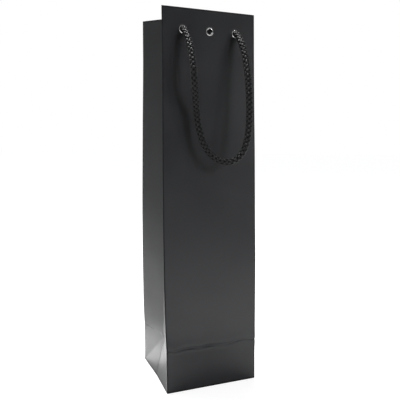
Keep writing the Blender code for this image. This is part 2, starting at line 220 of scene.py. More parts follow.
def fold_line(side, face, h):
    """Points of the fold between a face and a gusset. side is -1 for the left, +1 for the right."""
    h = np.asarray(h, float)
    base = np.array((side * HALF_WIDTH, face.base_y, 0.0))
    crease = np.array((side * HALF_WIDTH, face.crease[1], face.crease[2]))
    below = base + np.multiply.outer(h / RISE, crease - base)
    bow_x, bow_y = FOLD_BOWS[face.name, side]
    bow = np.array((side * bow_x, face.sign * bow_y, 0.0))
    above = crease + np.multiply.outer(h - RISE, face.up)
    above = above + np.multiply.outer(bow_shape(h), bow)
    return np.where((h < RISE)[..., None], below, above)


def centre_fold(side, h):
    """Points of a gusset's centre fold, which follow from the two edges and the paper's width."""
    front, back = fold_line(side, FRONT, h), fold_line(side, BACK, h)
    across = back - front
    across[:, 2] = 0
    span = np.linalg.norm(across, axis=1)
    inset = np.sqrt(np.maximum(GUSSET**2 - (span / 2) ** 2, 0))
    inward = np.stack((across[:, 1], -across[:, 0], across[:, 2]), axis=1) / span[:, None]
    point = (front + back) / 2 - side * inward * inset[:, None]
    point[:, 2] -= APEX_DROP
    return point


def gusset_sheet(side, face, a, h):
    """Half a gusset. a is the distance on the sheet from the face's edge to the centre fold."""
    rise = np.full(1, RISE)
    corner = fold_line(side, face, np.zeros(1))[0]
    crease = fold_line(side, face, rise)[0]
    apex = centre_fold(side, rise)[0]
    middle = np.array((corner[0] - side * BASE_PINCH, 0.0, 0.0))
    share_a, share_h = (a / RISE)[:, None], (h / RISE)[:, None]
    lying = corner + (share_a - share_h) * (middle - corner) + share_h * (apex - corner)
    standing = corner + (share_h - share_a) * (crease - corner) + share_a * (apex - corner)
    edge, fold = fold_line(side, face, h), centre_fold(side, np.maximum(h, RISE))
    upper = edge + share_a * (fold - edge)
    low = np.where(share_h < share_a, lying, standing)
    return np.where(share_h < 1, low, upper)


def face_sheet(face, x, h):
    """A big face between its two folds, slightly crowned."""
    left, right = fold_line(-1, face, h), fold_line(1, face, h)
    share = ((x + HALF_WIDTH) / (2 * HALF_WIDTH))[:, None]
    point = left + share * (right - left)
    crown = FACE_CROWN * bow_shape(h) * (4 * share * (1 - share))[:, 0]
    point[:, 1] += face.sign * crown
    return point


def unrolled(u):
    """Splits u into (part, coordinate) masks: faces give x, gussets give a."""
    v = np.mod(u + TUBE / 4, TUBE) - TUBE / 4
    half, mid, far = HALF_WIDTH, HALF_WIDTH + GUSSET, HALF_WIDTH + 2 * GUSSET
    return [
        (("face", FRONT, 0), np.abs(v) <= half, v),
        (("gusset", FRONT, 1), (v > half) & (v <= mid), v - half),
        (("gusset", BACK, 1), (v > mid) & (v <= far), far - v),
        (("face", BACK, 0), (v > far) & (v <= far + 2 * half), far + half - v),
        (("gusset", BACK, -1), v > far + 2 * half, v - far - 2 * half),
        (("gusset", FRONT, -1), v < -half, -half - v),
    ]


def sharp_sheet(u, h):
    """Places and inward normals of the sheet with knife-sharp folds, between base and mouth."""
    point = np.zeros((len(u), 3))
    normal = np.zeros((len(u), 3))
    for (kind, face, side), mask, coordinate in unrolled(u):
        if not mask.any():
            continue
        c, row = coordinate[mask], h[mask]
        if kind == "face":
            point[mask] = face_sheet(face, c, row)
            normal[mask] = face.inward
            continue
        point[mask] = gusset_sheet(side, face, c, row)
        middle = np.full(mask.sum(), GUSSET / 2)
        nudge = 0.5 * MM
        level = np.where(row < RISE, row, np.maximum(row, RISE + nudge))
        across = gusset_sheet(side, face, middle + nudge, level)
        across = across - gusset_sheet(side, face, middle - nudge, level)
        along = gusset_sheet(side, face, middle, level + nudge)
        along = along - gusset_sheet(side, face, middle, level - nudge)
        cross = np.cross(across, along)
        cross = cross / np.linalg.norm(cross, axis=1)[:, None]
        normal[mask] = cross * np.sign(-side * cross[:, :1])
    return point, normal


def hem_depth(u):
    """How far inside the mouth the turned-in paper lies."""
    depth = np.zeros(len(u))
    for (kind, _, _), mask, _ in unrolled(u):
        depth[mask] = MOUTH_FOLD if kind == "face" else GUSSET_HEM_DEPTH
    return depth


def folded_under(u, h):
    """Bottom flaps: h below zero counts along the flap, away from the base edge."""
    point = np.zeros((len(u), 3))
    for (kind, face, side), mask, coordinate in unrolled(u):
        reach = -h[mask]
        if kind == "face":
            narrowed = 1 - FLAP_TAPER * reach / FLAP_LENGTH
            lift = BACK_FLAP_RISE if face is BACK else 0.0
            point[mask, 0] = coordinate[mask] * narrowed
            point[mask, 1] = face.base_y - face.sign * reach
            point[mask, 2] = lift * np.clip(reach / (3 * MM), 0, 1)
        elif mask.any():
            point[mask] = sharp_sheet(u[mask], 0 * reach)[0]
            point[mask, 0] -= side * reach
    return point


def raw_sheet(u, h):
    """The whole sheet with sharp folds: bottom flaps, walls and turned-in mouth."""
    point, _ = sharp_sheet(u, np.clip(h, 0, HEIGHT))
    under = h < 0
    if under.any():
        point[under] = folded_under(u[under], h[under])
    over = h > HEIGHT
    if over.any():
        beyond = h[over] - HEIGHT
        depth = hem_depth(u[over])
        down = np.maximum(beyond - depth, 0)
        start, normal = sharp_sheet(u[over], HEIGHT - down)
        point[over] = start + normal * np.minimum(beyond, depth)[:, None]
    return point


def fold_sheet(u, h, depth=0.0):
    """The sheet with rounded folds: each place is the mean of its near neighbourhood."""
    total = np.zeros((len(u), 3))
    shares = np.linspace(-1, 1, 5)
    up_reach = FOLD_REACH + (BASE_REACH - FOLD_REACH) * hump(h, 3 * MM)
    for across in shares:
        for along in shares:
            total += raw_sheet(u + across * FOLD_REACH, h + along * up_reach)
    point = total / len(shares) ** 2
    _, normal = sharp_sheet(u, np.clip(np.where(h > HEIGHT, 2 * HEIGHT - h, h), 0, HEIGHT))
    return point + normal * (depth - relief(u, h))[:, None]


def follow_weight(u, h):
    """How much the sheet turns with its face: 1 on the face, 0 on the centre folds."""
    share = np.ones(len(u))
    for (kind, _, _), mask, coordinate in unrolled(u):
        if kind == "gusset":
            share[mask] = 1 - coordinate[mask] / GUSSET
    return eased((h - RISE) / FOLLOW_RAMP) * share


# ---------------------------------------------------------------- unevenness of the paper


def wave(u, h, size, seed):
    """Smooth noise between -1 and 1 over the flat sheet, with features of the given size."""
    places = zip(u / size, h / size)
    return np.array([noise.noise(Vector((x, y, seed))) for x, y in places])


def eased(share):
    """Eases from 0 to 1 as share goes from 0 to 1."""
    share = np.clip(share, 0, 1)
    return share * share * (3 - 2 * share)


def hump(distance, width):
    """1 at distance 0, falling to nothing over about twice the width."""
    return np.exp(-((distance / width) ** 2))


def cross_crease(face, x, h):
    """A soft ridge with an uneven dent along it, where the face was folded flat."""
    (far, far_size), (near, near_size) = CREASE_WANDER
    wander = far * wave(x, 0 * x, far_size, 5.0 + face.sign)
    wander += near * wave(x, 0 * x, near_size, 9.0 + face.sign)
    off = h - RISE - wander
    change, change_size = DENT_CHANGE
    dent, dent_width = CREASE_DENT
    dent = dent * (1 + change * wave(x, 0 * x, change_size, 2.0 + face.sign))
    ridge, ridge_width = CREASE_RIDGE
    return ridge * hump(off, ridge_width) - dent * hump(off, dent_width)


def relief(u, h):
    """Height of the sheet's unevenness, outwards."""
    free = np.clip((CARD_H - h) / (60 * MM), 0, 1) * np.clip(h / (12 * MM), 0, 1)
    height = SWELL[0] * free * wave(u, h, SWELL[1], 3.1)
    height += RIPPLE[0] * free * wave(u, h, RIPPLE[1], 8.4)
    for (kind, face, _), mask, coordinate in unrolled(u):
        if not mask.any():
            continue
        c, row = coordinate[mask], h[mask]
        if kind == "face":
            height[mask] += cross_crease(face, c, row)
        else:
            near_apex = hump(np.hypot(c - GUSSET, row - RISE), APEX_REACH)
            crumple, size = APEX_CRUMPLE
            height[mask] += crumple * near_apex * wave(u[mask], row, size, 1.7)
    return height


# ---------------------------------------------------------------- meshes of the sheet


def stops(start, end, step):
    """Grid values from start to end, with the fine steps of a fold at both ends."""
    inner = np.linspace(start, end, max(2, round((end - start) / step) + 1))
    clear = FINE_STEPS[-1] + 0.5 * MM
    inner = [v for v in inner if start + clear < v < end - clear]
    fine = [start + v for v in FINE_STEPS] + [end - v for v in FINE_STEPS]
    return sorted(set(round(float(v), 7) for v in inner + fine))


def joined(*lists):
    return sorted(set(round(float(v), 7) for values in lists for v in values))


class Cut:
    """Cells of the flat sheet, collected block by block and then folded into one mesh."""

    def __init__(self):
        self.index = {}
        self.cells = []
        self.rims = {}

    def corner(self, u, h):
        key = (round(float(u), 7), round(float(h), 7))
        return self.index.setdefault(key, len(self.index))

    def block(self, u_stops, h_stops, holes=()):
        """A grid of cells. Cells over a hole are left out and the hole's rim is made round."""
        kept, dropped = set(), set()
        for u0, u1 in zip(u_stops, u_stops[1:]):
            for h0, h1 in zip(h_stops, h_stops[1:]):
                middle = ((u0 + u1) / 2, (h0 + h1) / 2)
                corners = [(u0, h0), (u1, h0), (u1, h1), (u0, h1)]
                hole = next((p for p in holes if math.dist(p, middle) < PAPER_HOLE), None)
                if hole:
                    dropped.update((corner, hole) for corner in corners)
                    continue
                kept.update(corners)
                self.cells.append([self.corner(*corner) for corner in corners])
        for corner, hole in dropped:
            if corner in kept:
                self.rims[self.corner(*corner)] = hole

    def flat_places(self):
        flat = np.array(sorted(self.index, key=self.index.get))
        for vertex, hole in self.rims.items():
            away = flat[vertex] - hole
            flat[vertex] = hole + away * (PAPER_HOLE + 0.1 * MM) / np.linalg.norm(away)
        return flat[:, 0], flat[:, 1]


def sheet_object(name, cut, depth=0.0):
    """Folds the cells into a mesh and gives it the paper's thickness, inwards."""
    u, h = cut.flat_places()
    points = fold_sheet(u, h, depth)
    bm = bmesh.new()
    uv_layer = bm.loops.layers.uv.new("flat_sheet")
    follow = bm.verts.layers.float.new("follow")
    wear = bm.verts.layers.float.new("wear")
    verts = [bm.verts.new(point) for point in points]
    weights, worn = follow_weight(u, h), crease_wear(u, h)
    for vert, weight, value in zip(verts, weights, worn):
        vert[follow] = weight
        vert[wear] = value
    for cell in cut.cells:
        for part in split_cell(cell, u, h):
            face = bm.faces.new([verts[i] for i in part])
            face.smooth = True
            for loop, i in zip(face.loops, part):
                loop[uv_layer].uv = (u[i], h[i])
    mesh = bpy.data.meshes.new(name)
    bm.to_mesh(mesh)
    bm.free()
    mesh.materials.append(MATERIALS["laminate"])
    mesh.materials.append(MATERIALS["raw_paper"])
    item = bpy.data.objects.new(name, mesh)
    bpy.context.scene.collection.objects.link(item)
    thicken = item.modifiers.new("paper thickness", "SOLIDIFY")
    thicken.thickness = PAPER
    thicken.offset = -1.0
    thicken.material_offset = 1
    thicken.material_offset_rim = 1
    bake_modifiers(item)
    return item


def split_cell(cell, u, h):
    """A cell on a gusset's diagonal crease becomes two triangles that meet on the crease."""
    a, b, c, d = cell
    if on_diagonal(u[a], h[a]) and on_diagonal(u[c], h[c]):
        return [(a, b, c), (a, c, d)]
    if on_diagonal(u[b], h[b]) and on_diagonal(u[d], h[d]):
        return [(a, b, d), (b, c, d)]
    return [(a, b, c, d)]


def on_diagonal(u, h):
    """Whether a point of the flat sheet lies on a gusset's diagonal crease."""
    v = (u + TUBE / 4) % TUBE - TUBE / 4
    a = (abs(v) if v <= HALF_WIDTH + GUSSET else abs(v - TUBE / 2)) - HALF_WIDTH
    return a >= 0 and 0 <= h <= RISE and abs(a - h) < 0.01 * MM


def crease_wear(u, h):
    """Nearness to a crease, 0 to 1, where the film is rubbed and the fibres show."""
    v = np.mod(u + TUBE / 4, TUBE) - TUBE / 4
    a = np.where(v <= HALF_WIDTH + GUSSET, np.abs(v), np.abs(v - TUBE / 2)) - HALF_WIDTH
    edge_width, base_width, mouth_width = WEAR_WIDTHS
    edge = hump(a + 0.5 * MM, edge_width)
    base = hump(h, base_width)
    mouth = hump(h - HEIGHT, mouth_width)
    return np.clip(np.max([edge, base, mouth], axis=0), 0, 1)


def bake_modifiers(item):
    """Makes the modifiers' result the object's own mesh."""
    graph = bpy.context.evaluated_depsgraph_get()
    result = bpy.data.meshes.new_from_object(
        item.evaluated_get(graph), preserve_all_data_layers=True, depsgraph=graph
    )
    old = item.data
    item.modifiers.clear()
    item.data = result
    bpy.data.meshes.remove(old)
    result.name = item.name


def bend_with(item):
    """Bakes the piece's place into its mesh and reads its own 'follow' weights, which nothing here
    uses further.
    """
    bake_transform(item)
    weights = np.zeros(len(item.data.vertices), np.float32)
    item.data.attributes["follow"].data.foreach_get("value", weights)


def make_skin(face, middle_u):
    """Half of the bag's paper: one big face, its two gusset halves, its flap and its hem."""
    gusset = stops(0, GUSSET, GUSSET_STEP)
    across = stops(-HALF_WIDTH, HALF_WIDTH, FACE_STEP)
    left = [middle_u - HALF_WIDTH - a for a in gusset]
    right = [middle_u + HALF_WIDTH + a for a in gusset]
    flat = [middle_u + x for x in across]
    high_rows = stops(RISE, HEIGHT, ROW_STEP)
    holes = [(middle_u - face.sign * x, RISE + face.eyelet_h) for x in face.eyelet_x.values()]
    cut = Cut()
    cut.block(joined(left, flat, right), joined(gusset, high_rows), holes)

    flap = [u for u in flat if abs(u - middle_u) <= HALF_WIDTH - FLAP_SIDE_GAP]
    rows = np.arange(-FLAP_LENGTH, -1 * MM, FLAP_STEP)
    cut.block(flap, joined([-v for v in FINE_STEPS], rows))

    turn = [HEIGHT + v for v in np.arange(0, MOUTH_FOLD + 0.1 * MM, TURN_STEP)]
    down = [HEIGHT + MOUTH_FOLD + v for v in stops(0, HEM_LENGTH, ROW_STEP)]
    hem = [u for u in flat if abs(u - middle_u) <= HALF_WIDTH - HEM_EDGE]
    far = HEIGHT + MOUTH_FOLD + (HEIGHT - RISE - face.eyelet_h)
    hem_holes = [(u, far) for u, _ in holes]
    cut.block(hem, joined(turn, down), hem_holes)
    for side in (left, right):
        away = [(abs(u - middle_u) - HALF_WIDTH, u) for u in side]
        part = sorted(u for a, u in away if HEM_EDGE < a < GUSSET_HEM_END)
        cut.block(part, joined(turn, down))

    skin = sheet_object(face.name + "_paper", cut)
    side = "left" if face.sign < 0 else "right"
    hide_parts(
        face.name + "_panel",
        face.name + "_bottom_strip",
        face.name + "_top_hem",
        f"left_gusset_{face.name}",
        f"right_gusset_{face.name}",
        f"base_{face.name}_flap",
        side + "_bottom_gusset",
    )
    bend_with(skin)
    return skin


def make_seam_flap():
    """The glue flap that closes the sheet into a tube, stuck to the inside of the back face."""
    middle = TUBE / 2
    cut = Cut()
    low_gap, high_gap = SEAM_GAPS
    columns = joined([middle + v for v in stops(*SEAM_SPAN, FACE_STEP)])
    cut.block(columns, stops(RISE + low_gap, CARD_H - high_gap, ROW_STEP))
    flap = sheet_object("side_seam_flap_paper", cut, SEAM_DEPTH)
    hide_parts("side_seam_flap")
    bend_with(flap)


# ---------------------------------------------------------------- eyelets


def lathe(name, profile, steps, material, face, x):
    """A closed ring turned about an eyelet's axis. The profile lists (radius, depth)."""
    bm = bmesh.new()
    rings = []
    for step in range(steps):
        angle = math.tau * step / steps
        radii = np.array([radius for radius, _ in profile])
        depths = np.array([depth for _, depth in profile])
        places = face.place(
            x + radii * math.cos(angle),
            TURN_OFFSET + depths,
            radii * math.sin(angle),
        )
        rings.append([bm.verts.new(place) for place in places])
    count = len(profile)
    for step in range(steps):
        ring, following = rings[step], rings[(step + 1) % steps]
        for i in range(count):
            j = (i + 1) % count
            bm.faces.new((ring[i], ring[j], following[j], following[i])).smooth = True
    bmesh.ops.recalc_face_normals(bm, faces=bm.faces[:])
    mesh = bpy.data.meshes.new(name)
    bm.to_mesh(mesh)
    bm.free()
    mesh.materials.append(material)
    mesh.set_sharp_from_angle(angle=math.radians(50))
    item = bpy.data.objects.new(name, mesh)
    bpy.context.scene.collection.objects.link(item)
    return item


def arc(centre, radius, start, end, count):
    """Points (radius, depth) on an arc, angles in degrees from the outward radius."""
    angles = np.radians(np.linspace(start, end, count))
    return [
        (centre[0] + radius[0] * math.cos(a), centre[1] + radius[1] * math.sin(a))
        for a in angles
    ]


def make_eyelet(face, place):
    """Rolled nickel flange outside, barrel through the layers, curl over the washer inside."""
    middle = (BORE_RADIUS + EYELET_RADIUS) / 2
    half = (EYELET_RADIUS - BORE_RADIUS) / 2
    flange = arc((middle, -0.25 * MM), (half, FLANGE_RISE - 0.25 * MM), -180, 0, 17)
    lip = [(EYELET_RADIUS - 0.15 * MM, -0.05 * MM), (BORE_RADIUS + 0.35 * MM, -0.05 * MM)]
    curl_middle = (BORE_RADIUS + CURL_RADIUS) / 2
    curl_half = (CURL_RADIUS - BORE_RADIUS) / 2
    curl_start = WASHER_SPAN[1] + 0.05 * MM
    barrel = [(BORE_RADIUS + 0.35 * MM, curl_start)]
    curl = arc((curl_middle, curl_start), (curl_half, BARREL_END - curl_start), 0, 180, 9)
    name = f"{face.name}_{place}_eyelet"
    profile = flange + lip + barrel + curl
    item = lathe(name + "_ring", profile, 56, MATERIALS["nickel"], face, face.eyelet_x[place])
    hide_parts(name)
    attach(item, face.name + "_face")


def make_washer(face, place):
    low, high = WASHER_SPAN
    rim = 0.12 * MM
    profile = [
        (PAPER_HOLE - rim, low + rim),
        (PAPER_HOLE, low),
        (WASHER_RADIUS - rim, low),
        (WASHER_RADIUS, low + rim),
        (WASHER_RADIUS, high - rim),
        (WASHER_RADIUS - 2 * rim, high),
        (PAPER_HOLE, high),
        (PAPER_HOLE - rim, high - rim),
    ]
    name = f"{face.name}_{place}_eyelet_washer"
    item = lathe(name + "_ring", profile, 48, MATERIALS["nickel"], face, face.eyelet_x[place])
    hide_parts(name)
    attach(item, face.name + "_face")


# ---------------------------------------------------------------- braided cord


def resampled(points, step):
    """Points at equal steps along a line of points."""
    lengths = np.concatenate(([0], np.cumsum(np.linalg.norm(np.diff(points, axis=0), axis=1))))
    count = int(lengths[-1] / step) + 1
    wanted = np.linspace(0, lengths[-1], count)
    return np.stack([np.interp(wanted, lengths, points[:, i]) for i in range(3)], axis=1)


def rounded(points, reach, step):
    """Evens out a line's corners by a running mean over the given reach, ends kept."""
    count = max(1, int(reach / step))
    kernel = np.hanning(2 * count + 3)[1:-1]
    kernel = kernel / kernel.sum()
    padded = np.concatenate(
        (
            2 * points[0] - points[count + 1 : 0 : -1],
            points,
            2 * points[-1] - points[-2 : -count - 3 : -1],
        )
    )
    smooth = [np.convolve(padded[:, i], kernel, "same") for i in range(3)]
    return np.stack(smooth, axis=1)[count + 1 : len(points) + count + 1]


def knot_line(side):
    """Overhand knot inside the bag and its short tail, ending at the eyelet. Local to the axis.

    The polynomial trefoil (t^3 - 3t, t^5 - 10t, t^4 - 4t^2), scaled to a tight knot.
    """
    t = np.linspace(2.16, -1.9, 160)
    wide, deep, high = KNOT_SCALES
    x = -side * (t**3 - 3 * t) * wide
    depth = (t**5 - 10 * t) * deep
    up = (t**4 - 4 * t**2 + 2) * high
    centre = TURN_OFFSET + KNOT_DEPTH
    return np.stack((x, centre + depth, up), axis=1)


def half_spacing():
    return (FRONT.eyelet_x["right"] - FRONT.eyelet_x["left"]) / 2


def loop_line():
    """The hanging loop from the left eyelet's axis to the right one's, local to the axis."""
    angle = np.linspace(0, math.pi, 20001)
    drop = HANDLE_DROP * np.sin(angle) ** (2 / HANDLE_SQUARENESS)
    swing = (HANDLE_BULGE - TURN_OFFSET) * (1 - np.exp(-drop / BULGE_FADE))
    swing = swing - MOUTH_TUCK * np.exp(-drop / TUCK_FADE)
    x = -half_spacing() * np.cos(angle)
    leftness = eased((1 - x / half_spacing()) / 2)
    nearer = LOOP_TWIST * eased((drop - TWIST_TOP) / TWIST_SPAN) * leftness
    across = x + TWIST_SHIFT * nearer + LOOP_SHIFT * eased(drop / SHIFT_FADE)
    middle_sag, right_sag = LOOP_SAG
    sag = (middle_sag + right_sag * x / half_spacing()) * eased((drop - SAG_TOP) / SAG_SPAN)
    return np.stack((across, nearer - swing, -drop - sag), axis=1)


def cord_line():
    """Centre line of a whole cord, local to the turning axis: x, depth, up."""
    knot = knot_line(-1)
    knot[:, 0] -= half_spacing()
    neck = np.array([(-half_spacing(), depth, 0) for depth in NECK_STOPS])
    left = np.concatenate((knot, neck))
    right = left[::-1] * (-1, 1, 1)
    line = resampled(np.concatenate((left, loop_line()[1:-1], right)), CORD_STEP)
    tight, loose = (rounded(line, reach, CORD_STEP) for reach in (TIGHT_BEND, LOOSE_BEND))
    outside = eased((8 * MM - tight[:, 1]) / (5 * MM))
    return tight + (loose - tight) * outside[:, None]


def carried_frames(line):
    """Directions across a line that turn as little as possible along it."""
    tangent = np.gradient(line, axis=0)
    tangent /= np.linalg.norm(tangent, axis=1)[:, None]
    across = np.zeros_like(line)
    guess = np.cross(tangent[0], (0, 0, 1.0))
    for i, direction in enumerate(tangent):
        guess = guess - direction * np.dot(guess, direction)
        guess /= np.linalg.norm(guess)
        across[i] = guess
    return tangent, across, np.cross(tangent, across)


def tube(bm, centres, wide, high, half_width, half_height, sides):
    """A tube with an oval section, closed at both ends."""
    angles = np.arange(sides) * math.tau / sides
    rings = []
    for centre, w, n, a, b in zip(centres, wide, high, half_width, half_height):
        ring = [
            bm.verts.new(centre + w * a * math.cos(t) + n * b * math.sin(t)) for t in angles
        ]
        rings.append(ring)
    for first, second in zip(rings, rings[1:]):
        for i in range(sides):
            j = (i + 1) % sides
            bm.faces.new((first[i], first[j], second[j], second[i])).smooth = True
    bm.faces.new(rings[0][::-1])
    bm.faces.new(rings[-1])
    return rings


def braid(bm, line, size, follow):
    """Eight strands plaited over and under one another round a core, along the line."""
    along = np.arange(len(line)) * CORD_STEP
    _, across, upright = carried_frames(line)
    uv_layer = bm.loops.layers.uv.new("strand")
    weight_layer = bm.verts.layers.float.new("follow")
    # raised: how far out a strand's vertex sits; the cord material turns low values into painted
    # shade, near black, in the gaps
    raised_layer = bm.verts.layers.float.new("raised")
    mean_radius = CORD_RADIUS - STRAND_HALF_HEIGHT - BRAID_WAVE
    for direction in (-1, 1):
        for k in range(STRANDS_EACH_WAY):
            turn = math.tau * k / STRANDS_EACH_WAY
            angle = direction * math.tau * along / BRAID_PITCH + turn
            wavy = np.cos(STRANDS_EACH_WAY * math.tau * along / BRAID_PITCH)
            radius = (mean_radius + direction * BRAID_WAVE * wavy) * size
            outward = across * np.cos(angle)[:, None] + upright * np.sin(angle)[:, None]
            centres = line + outward * radius[:, None]
            heading = np.gradient(centres, axis=0)
            heading /= np.linalg.norm(heading, axis=1)[:, None]
            wide = np.cross(heading, outward)
            wide /= np.linalg.norm(wide, axis=1)[:, None]
            high = np.cross(wide, heading)
            half_width, half_height = STRAND_HALF_WIDTH * size, STRAND_HALF_HEIGHT * size
            rings = tube(bm, centres, wide, high, half_width, half_height, 8)
            for ring, weight, middle, scale in zip(rings, follow, line, size):
                for vert in ring:
                    vert[weight_layer] = weight
                    away = (vert.co - Vector(middle)).length / scale
                    vert[raised_layer] = (away - mean_radius) / (CORD_RADIUS - mean_radius)
            strand_uvs(rings, uv_layer, k + STRANDS_EACH_WAY * (direction > 0))
    # The core gets no raised value, so the cord material gives it the full painted gap shade, near
    # black
    core_radius = (mean_radius - 0.25 * MM) * size
    core = tube(bm, line, across, upright, core_radius, core_radius, 10)
    for ring, weight in zip(core, follow):
        for vert in ring:
            vert[weight_layer] = weight


def make_cord(face):
    """A whole handle cord: knot, neck in the eyelet, loop, neck, knot."""
    line = cord_line()
    depth, drop = line[:, 1], -line[:, 2]
    # The cord is squeezed in the eyelet and in the knot
    size = 1 - BORE_SQUEEZE * eased((depth - 4.8 * MM) / (1.7 * MM))
    size = size - KNOT_SQUEEZE * eased((depth - 9 * MM) / (4 * MM))
    follow = eased((TURN_START - depth + 0.5 * drop) / TURN_SPAN)
    bm = bmesh.new()
    braid(bm, line, size, follow)
    for vert in bm.verts:
        x, inward, up = vert.co
        vert.co = face.place(x, inward, up)
    bm.normal_update()
    bmesh.ops.recalc_face_normals(bm, faces=bm.faces[:])
    name = face.name + "_rope"
    mesh = bpy.data.meshes.new(name)
    bm.to_mesh(mesh)
    bm.free()
    mesh.materials.append(MATERIALS["cord"])
    item = bpy.data.objects.new(name, mesh)
    bpy.context.scene.collection.objects.link(item)
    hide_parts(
        face.name + "_handle_cord",
        face.name + "_left_cord_knot",
        face.name + "_right_cord_knot",
    )
    bend_with(
        item
    )


def strand_uvs(rings, uv_layer, strand):
    """Along the strand and round it, in metres, for the yarns' bump."""
    sides = len(rings[0])
    for number, (first, second) in enumerate(zip(rings, rings[1:])):
        for i in range(sides):
            j = (i + 1) % sides
            for loop in first[i].link_loops:
                face = loop.face
                if second[i] in face.verts and first[j] in face.verts:
                    for corner in face.loops:
                        ring = number if corner.vert in (first[i], first[j]) else number + 1
                        side = i if corner.vert in (first[i], second[i]) else i + 1
                        corner[uv_layer].uv = (ring * CORD_STEP, strand + side / sides)
                    break


# ---------------------------------------------------------------- materials


def new_material(name):
    material = bpy.data.materials.new(name)
    material.use_nodes = True
    nodes = material.node_tree.nodes
    return material, nodes, nodes["Principled BSDF"]


def add(nodes, kind, **values):
    """A node with its properties and its sockets' default values set by name."""
    node = nodes.new("ShaderNode" + kind)
    for key, value in values.items():
        if hasattr(node, key) and key not in node.inputs:
            setattr(node, key, value)
        else:
            node.inputs[key.replace("_", " ")].default_value = value
    return node


def textured(nodes, links, source, scale, detail, stretch=(1, 1, 1)):
    """Noise over the given coordinates. scale is in features per metre."""
    mapping = add(nodes, "Mapping")
    mapping.inputs["Scale"].default_value = stretch
    links.new(source, mapping.inputs["Vector"])
    texture = add(nodes, "TexNoise", Scale=scale, Detail=detail, Roughness=0.55)
    links.new(mapping.outputs["Vector"], texture.inputs["Vector"])
    return texture.outputs["Fac"]


def ramp(nodes, links, source, low, high, start, end):
    """Maps a 0-1 value to a range of numbers."""
    node = add(nodes, "MapRange")
    node.inputs["From Min"].default_value = start
    node.inputs["From Max"].default_value = end
    node.inputs["To Min"].default_value = low
    node.inputs["To Max"].default_value = high
    links.new(source, node.inputs["Value"])
    return node.outputs["Result"]


def mixed(nodes, links, share, first, second):
    """Colour mix. first and second are colours, or outputs that carry one."""
    node = add(nodes, "Mix", data_type="RGBA")
    colour_inputs = [socket for socket in node.inputs if socket.type == "RGBA"]
    for socket, value in zip(colour_inputs, (first, second)):
        if isinstance(value, tuple):
            socket.default_value = (*value, 1)
        else:
            links.new(value, socket)
    links.new(share, node.inputs["Factor"])
    return next(socket for socket in node.outputs if socket.type == "RGBA")


def stacked_bumps(nodes, links, shader, layers):
    """Feeds (height source, depth in metres) pairs through a chain of bump nodes."""
    previous = None
    for source, distance in layers:
        bump = add(nodes, "Bump", Strength=1.0, Distance=distance)
        links.new(source, bump.inputs["Height"])
        if previous:
            links.new(previous, bump.inputs["Normal"])
        previous = bump.outputs["Normal"]
    links.new(previous, shader.inputs["Normal"])
    return previous


def laminate_material():
    """Black paper under a satin film: soft sheen, faint fibres, rubbed creases."""
    material, nodes, shader = new_material("black_satin_laminate")
    links = material.node_tree.links
    flat = add(nodes, "UVMap", uv_map="flat_sheet").outputs["UV"]
    fibre = textured(nodes, links, flat, 2600, 3, (1, 0.45, 1))
    peel = textured(nodes, links, flat, 420, 2)
    cloud = textured(nodes, links, flat, 28, 3)
    wear = add(nodes, "Attribute", attribute_name="wear").outputs["Fac"]
    patchy = ramp(nodes, links, textured(nodes, links, flat, 900, 4), 0.0, 1.0, 0.35, 0.7)
    rubbed = add(nodes, "Math", operation="MULTIPLY")
    links.new(wear, rubbed.inputs[0])
    links.new(patchy, rubbed.inputs[1])
    body = mixed(nodes, links, cloud, (0.0090, 0.0093, 0.0104), (0.0125, 0.0128, 0.0140))
    worn = mixed(nodes, links, rubbed.outputs[0], body, (0.014, 0.014, 0.015))
    links.new(worn, shader.inputs["Base Color"])
    links.new(ramp(nodes, links, cloud, 0.34, 0.44, 0.3, 0.7), shader.inputs["Roughness"])
    links.new(ramp(nodes, links, wear, 0.5, 0.08, 0.0, 0.7), shader.inputs["Specular IOR Level"])
    links.new(ramp(nodes, links, wear, 0.35, 0.0, 0.0, 0.7), shader.inputs["Coat Weight"])
    shader.inputs["Coat Roughness"].default_value = 0.28
    stacked_bumps(nodes, links, shader, ((peel, 0.012 * MM), (fibre, 0.006 * MM)))
    return material


def raw_paper_material():
    """The sheet's uncoated black back and its cut edges."""
    material, nodes, shader = new_material("black_uncoated_paper")
    links = material.node_tree.links
    flat = add(nodes, "UVMap", uv_map="flat_sheet").outputs["UV"]
    fibre = textured(nodes, links, flat, 1800, 5, (1, 0.35, 1))
    cloud = textured(nodes, links, flat, 60, 4)
    body = mixed(nodes, links, cloud, (0.009, 0.009, 0.010), (0.016, 0.016, 0.017))
    links.new(body, shader.inputs["Base Color"])
    links.new(ramp(nodes, links, fibre, 0.72, 0.9, 0.3, 0.7), shader.inputs["Roughness"])
    shader.inputs["Specular IOR Level"].default_value = 0.3
    stacked_bumps(nodes, links, shader, ((fibre, 0.03 * MM),))
    return material


def board_material(name, low, high):
    """Pressed board: short fibres and specks."""
    material, nodes, shader = new_material(name)
    links = material.node_tree.links
    place = add(nodes, "TexCoord").outputs["Object"]
    fibre = textured(nodes, links, place, 1500, 6, (1, 0.4, 1))
    speck = textured(nodes, links, place, 320, 3)
    both = add(nodes, "Math", operation="MULTIPLY")
    links.new(fibre, both.inputs[0])
    links.new(speck, both.inputs[1])
    share = ramp(nodes, links, both.outputs[0], 0, 1, 0.12, 0.42)
    links.new(mixed(nodes, links, share, low, high), shader.inputs["Base Color"])
    links.new(ramp(nodes, links, fibre, 0.8, 0.95, 0.3, 0.7), shader.inputs["Roughness"])
    stacked_bumps(nodes, links, shader, ((fibre, 0.04 * MM), (speck, 0.05 * MM)))
    return material


